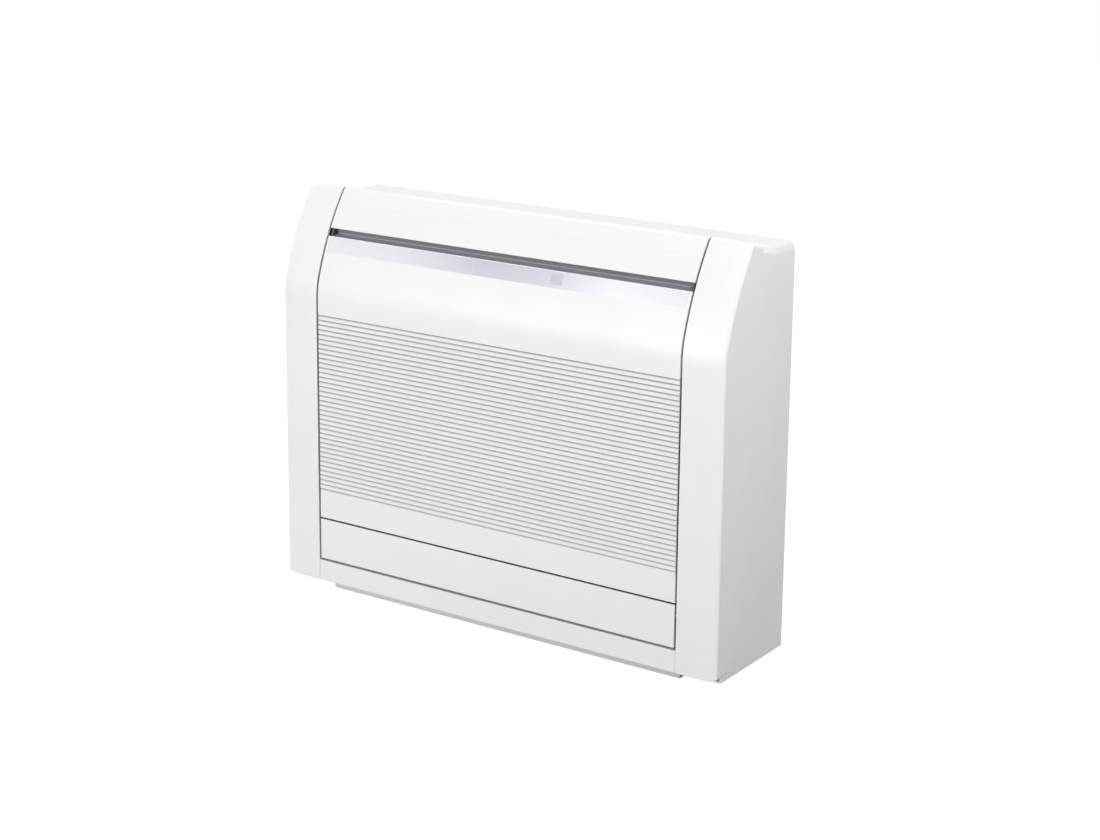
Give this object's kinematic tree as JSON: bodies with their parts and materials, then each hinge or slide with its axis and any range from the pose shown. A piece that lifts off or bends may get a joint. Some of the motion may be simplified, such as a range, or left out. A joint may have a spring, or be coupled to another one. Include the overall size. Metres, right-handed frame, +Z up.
{
  "type": "floor standing air conditioner",
  "caption": "White floor-standing indoor air conditioner with a slotted front panel that tips open, a swinging top louver and a lower outlet flap.",
  "frame": {"origin": "middle of the casing's footprint at floor level", "axes": "+X along the width towards the controls' end, +Y from the slotted front to the wall, +Z up"},
  "size_m": [0.74, 0.2, 0.6],
  "materials": {
    "white_casing": "fine satin",
    "pale_plinth": "matt",
    "grey_sill": "satin",
    "display_film": "printed silver film",
    "dark_lens": "tinted window",
    "lamp_lens": "clear lamp lens",
    "inner_grey": "matt",
    "vane_grey": "matt",
    "fan_plastic": "matt",
    "steel": "zinc plated",
    "galvanised_sheet": "galvanised",
    "motor_shell": "rolled shell",
    "swing_motor_shell": "small stepper shell",
    "fin_aluminium": "lanced fins",
    "copper_tube": "bare copper",
    "union_brass": "machined brass",
    "drain_plastic": "matt",
    "filter_frame": "moulded frame",
    "filter_net": "fine net",
    "circuit_board": "coated board",
    "terminal_plastic": "moulded",
    "gland_rubber": "moulded rubber",
    "switch_plastic": "moulded"
  },
  "bodies": {
    "console": {"base_plinth": "pale_plinth", "bottom_bar": "white_casing", "cable_gland": "gland_rubber", "casing_back": "white_casing", "casing_top": "white_casing", "coil_end_plates": "steel", "coil_fins": "fin_aluminium", "coil_tubes": "copper_tube", "control_board": "circuit_board", "control_box": "galvanised_sheet", "control_box_cover": "galvanised_sheet", "control_plate": "inner_grey", "drain_elbow": "drain_plastic", "drain_pan": "drain_plastic", "fan_motor": "motor_shell", "fan_orifice": "inner_grey", "filter_nets": "filter_net", "filter_rails": "inner_grey", "gas_pipe": "copper_tube", "gas_union": "union_brass", "indicator_board": "circuit_board", "left_bulkhead": "inner_grey", "left_casing_side": "white_casing", "left_filter_frame": "filter_frame", "left_side_cover": "white_casing", "liquid_pipe": "copper_tube", "liquid_union": "union_brass", "lower_air_guide": "inner_grey", "motor_bracket": "galvanised_sheet", "outlet_sill": "grey_sill", "pan_screws": "steel", "panel_catches": "inner_grey", "right_bulkhead": "inner_grey", "right_casing_side": "white_casing", "right_filter_frame": "filter_frame", "right_side_cover": "white_casing", "room_sensor": "terminal_plastic", "swing_motors": "swing_motor_shell", "terminal_block": "terminal_plastic", "upper_air_guide": "inner_grey"},
    "front_panel": {"grille_panel": "white_casing", "display_strip": "display_film", "receiver_window": "dark_lens", "indicator_lamps": "lamp_lens"},
    "louver": {"upper_louver": "white_casing"},
    "flap": {"lower_flap": "white_casing"},
    "fan_rotor": {"fan_impeller": "fan_plastic", "motor_shaft": "steel", "fan_nut": "steel"},
    "link": {"vane_link": "inner_grey"},
    "button": {"operation_button": "switch_plastic"},
    "selector": {"outlet_switch": "switch_plastic"},
    "vane_body_1": {"vane_1": "vane_grey"},
    "vane_body_2": {"vane_2": "vane_grey"},
    "vane_body_3": {"vane_3": "vane_grey"},
    "vane_body_4": {"vane_4": "vane_grey"},
    "vane_body_5": {"vane_5": "vane_grey"},
    "vane_body_6": {"vane_6": "vane_grey"},
    "vane_body_7": {"vane_7": "vane_grey"},
    "vane_body_8": {"vane_8": "vane_grey"}
  },
  "joints": [
    {"name": "front_panel_hinge", "type": "hinge", "parent": "console", "child": "front_panel", "pos_m": [0, -0.0935, 0.121], "axis": [1, 0, 0], "range_deg": [0, 20]},
    {"name": "louver_hinge", "type": "hinge", "parent": "console", "child": "louver", "pos_m": [0, -0.03087, 0.592], "axis": [-1, 0, 0], "range_deg": [0, 80]},
    {"name": "flap_hinge", "type": "hinge", "parent": "console", "child": "flap", "pos_m": [0, -0.0935, 0.0977], "axis": [-1, 0, 0], "range_deg": [0, 55]},
    {"name": "fan_spin", "type": "hinge", "parent": "console", "child": "fan_rotor", "pos_m": [0, 0, 0.31], "axis": [0, 1, 0], "continuous": true},
    {"name": "vane_swing_1", "type": "hinge", "parent": "console", "child": "vane_body_1", "pos_m": [-0.238, -0.045, 0.53], "axis": [0, 1, 0], "range_deg": [-25, 25]},
    {"name": "vane_swing_2", "type": "hinge", "parent": "console", "child": "vane_body_2", "pos_m": [-0.17, -0.045, 0.53], "axis": [0, 1, 0], "range_deg": [-25, 25]},
    {"name": "vane_swing_3", "type": "hinge", "parent": "console", "child": "vane_body_3", "pos_m": [-0.102, -0.045, 0.53], "axis": [0, 1, 0], "range_deg": [-25, 25]},
    {"name": "vane_swing_4", "type": "hinge", "parent": "console", "child": "vane_body_4", "pos_m": [-0.034, -0.045, 0.53], "axis": [0, 1, 0], "range_deg": [-25, 25]},
    {"name": "vane_swing_5", "type": "hinge", "parent": "console", "child": "vane_body_5", "pos_m": [0.034, -0.045, 0.53], "axis": [0, 1, 0], "range_deg": [-25, 25]},
    {"name": "vane_swing_6", "type": "hinge", "parent": "console", "child": "vane_body_6", "pos_m": [0.102, -0.045, 0.53], "axis": [0, 1, 0], "range_deg": [-25, 25]},
    {"name": "vane_swing_7", "type": "hinge", "parent": "console", "child": "vane_body_7", "pos_m": [0.17, -0.045, 0.53], "axis": [0, 1, 0], "range_deg": [-25, 25]},
    {"name": "vane_swing_8", "type": "hinge", "parent": "console", "child": "vane_body_8", "pos_m": [0.238, -0.045, 0.53], "axis": [0, 1, 0], "range_deg": [-25, 25]},
    {"name": "link_shift", "type": "slide", "parent": "console", "child": "link", "axis": [1, 0, 0], "range_m": [-0.00524, 0.00524]},
    {"name": "button_press", "type": "slide", "parent": "console", "child": "button", "axis": [0, 1, 0], "range_m": [0, 0.0015], "stiffness_N_per_m": 400},
    {"name": "selector_slide", "type": "slide", "parent": "console", "child": "selector", "axis": [0, 0, 1], "range_m": [0, 0.006]}
  ],
  "couplings": [
    {"joint": "vane_swing_1", "follows": "link_shift", "rad_per_m": -83.333},
    {"joint": "vane_swing_2", "follows": "link_shift", "rad_per_m": -83.333},
    {"joint": "vane_swing_3", "follows": "link_shift", "rad_per_m": -83.333},
    {"joint": "vane_swing_4", "follows": "link_shift", "rad_per_m": -83.333},
    {"joint": "vane_swing_5", "follows": "link_shift", "rad_per_m": -83.333},
    {"joint": "vane_swing_6", "follows": "link_shift", "rad_per_m": -83.333},
    {"joint": "vane_swing_7", "follows": "link_shift", "rad_per_m": -83.333},
    {"joint": "vane_swing_8", "follows": "link_shift", "rad_per_m": -83.333}
  ]
}
